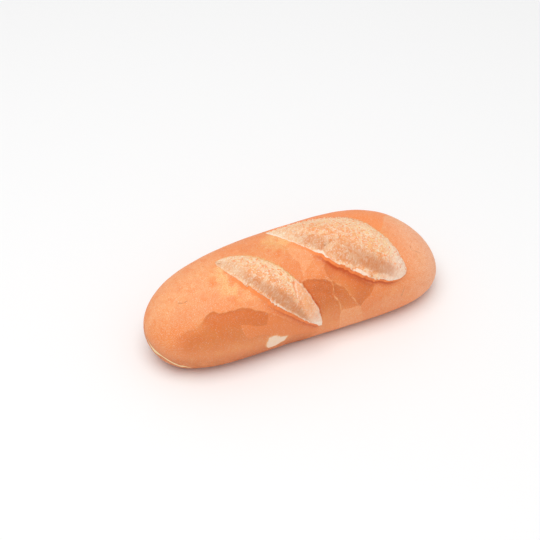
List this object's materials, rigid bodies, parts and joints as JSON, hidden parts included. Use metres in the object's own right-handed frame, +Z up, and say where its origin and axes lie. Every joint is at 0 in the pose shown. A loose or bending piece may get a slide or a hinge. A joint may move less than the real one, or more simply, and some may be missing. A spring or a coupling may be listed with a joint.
{
  "type": "vietnamese baguette",
  "caption": "Short plump crusty bread loaf with a flat base and bloomed diagonal scores across its crown.",
  "frame": {"origin": "middle of the loaf's box in plan, on the flat base that it rests on", "axes": "+X along the loaf towards its wider end, +Z up, the scores run from the back of the crown (+Y) down to the front flank (-Y)"},
  "size_m": [0.213, 0.084, 0.0633],
  "materials": {
    "crust": "thin crackly golden-orange bread crust, matte with a faint sheen",
    "crumb": "pale floury bloomed crumb of the scores, speckled and strandy, matte"
  },
  "bodies": {
    "root": {"loaf": "crust"}
  },
  "joints": []
}
